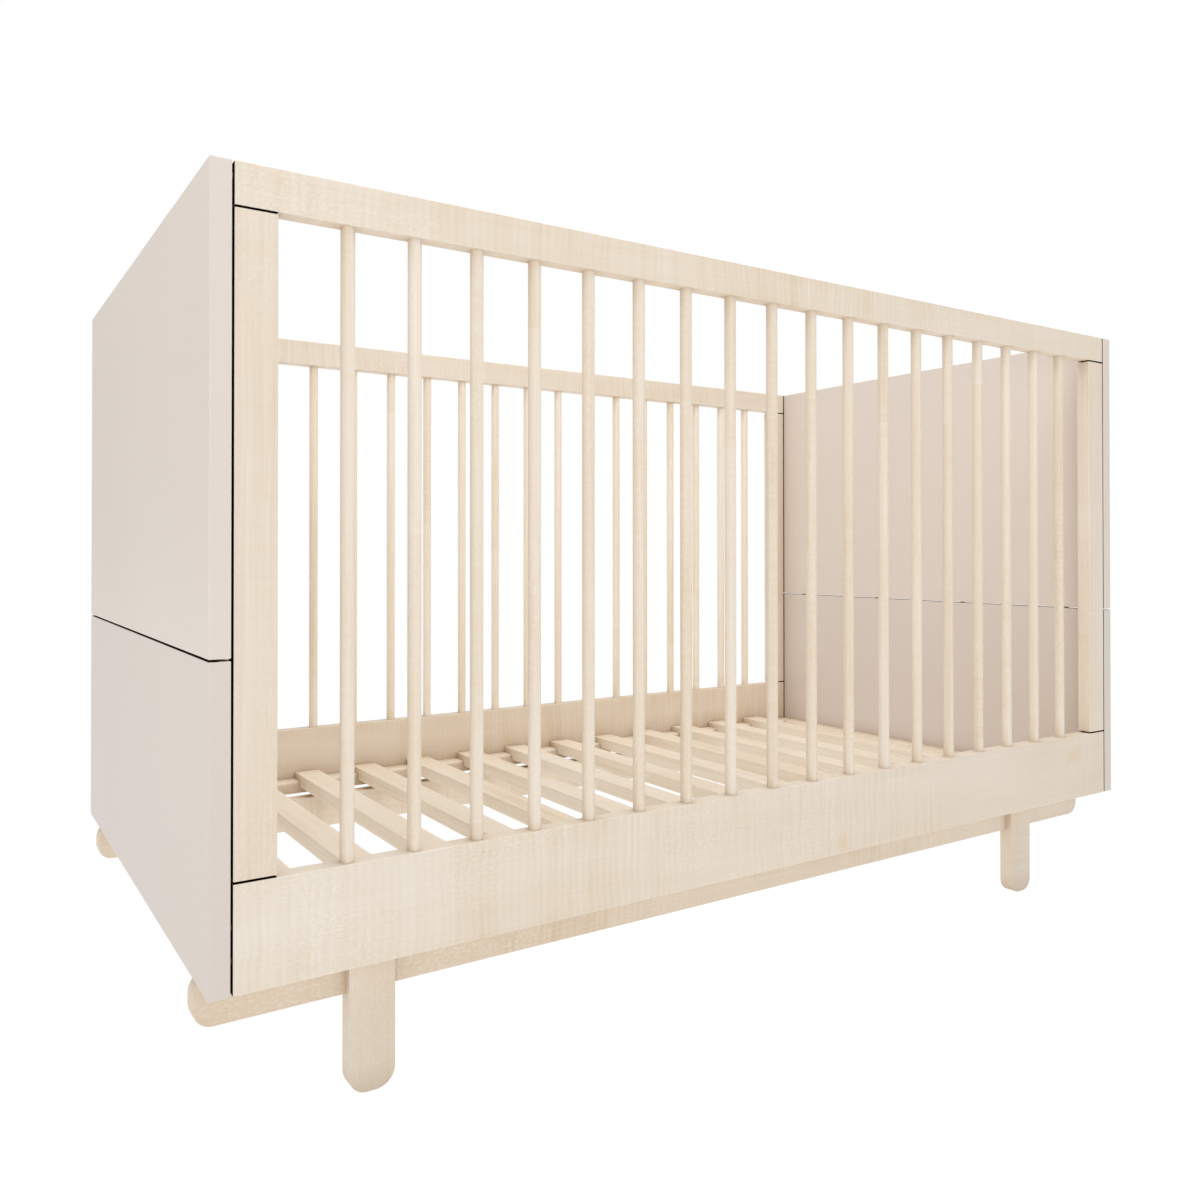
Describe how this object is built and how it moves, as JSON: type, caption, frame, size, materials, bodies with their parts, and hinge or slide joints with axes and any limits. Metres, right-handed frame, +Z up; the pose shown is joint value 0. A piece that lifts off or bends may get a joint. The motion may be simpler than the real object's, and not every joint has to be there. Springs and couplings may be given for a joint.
{
  "type": "baby crib",
  "caption": "Free-standing baby crib with two solid end panels, barred sides, a slatted mattress base and short legs on two floor beams.",
  "frame": {"origin": "on the floor, under the middle of the crib", "axes": "+Z up, X along the crib's length, the front side towards -Y, the left end panel towards -X"},
  "size_m": [1.46, 0.74, 0.9],
  "materials": {
    "wood": "clear matte lacquer on pale maple",
    "dowel_wood": "bare turned beech",
    "lacquer": "opaque matte taupe lacquer on wood board",
    "steel": "zinc plated"
  },
  "bodies": {
    "crib_frame": {"front_top_rail": "wood", "front_bottom_rail": "wood", "front_bars": "wood", "front_floor_beam": "wood", "front_left_post": "wood", "front_left_leg": "wood", "front_right_post": "wood", "front_right_leg": "wood", "back_top_rail": "wood", "back_bottom_rail": "wood", "back_bars": "wood", "back_floor_beam": "wood", "back_left_post": "wood", "back_left_leg": "wood", "back_right_post": "wood", "back_right_leg": "wood", "left_upper_panel": "lacquer", "left_lower_panel": "lacquer", "left_end_cleat": "wood", "right_upper_panel": "lacquer", "right_lower_panel": "lacquer", "right_end_cleat": "wood", "panel_dowels": "dowel_wood", "rail_dowels": "dowel_wood", "post_dowels": "dowel_wood", "cleat_dowels": "dowel_wood", "leg_dowels": "dowel_wood", "beam_bolts": "steel", "insert_nuts": "steel"},
    "mattress_base": {"base_front_rail": "wood", "base_back_rail": "wood", "slat_01": "wood", "slat_02": "wood", "slat_03": "wood", "slat_04": "wood", "slat_05": "wood", "slat_06": "wood", "slat_07": "wood", "slat_08": "wood", "slat_09": "wood", "slat_10": "wood", "slat_11": "wood", "slat_12": "wood", "slat_13": "wood", "slat_screws": "steel"}
  },
  "joints": [
    {"name": "base_height", "type": "slide", "parent": "crib_frame", "child": "mattress_base", "axis": [0, 0, 1], "range_m": [0, 0.3]}
  ]
}
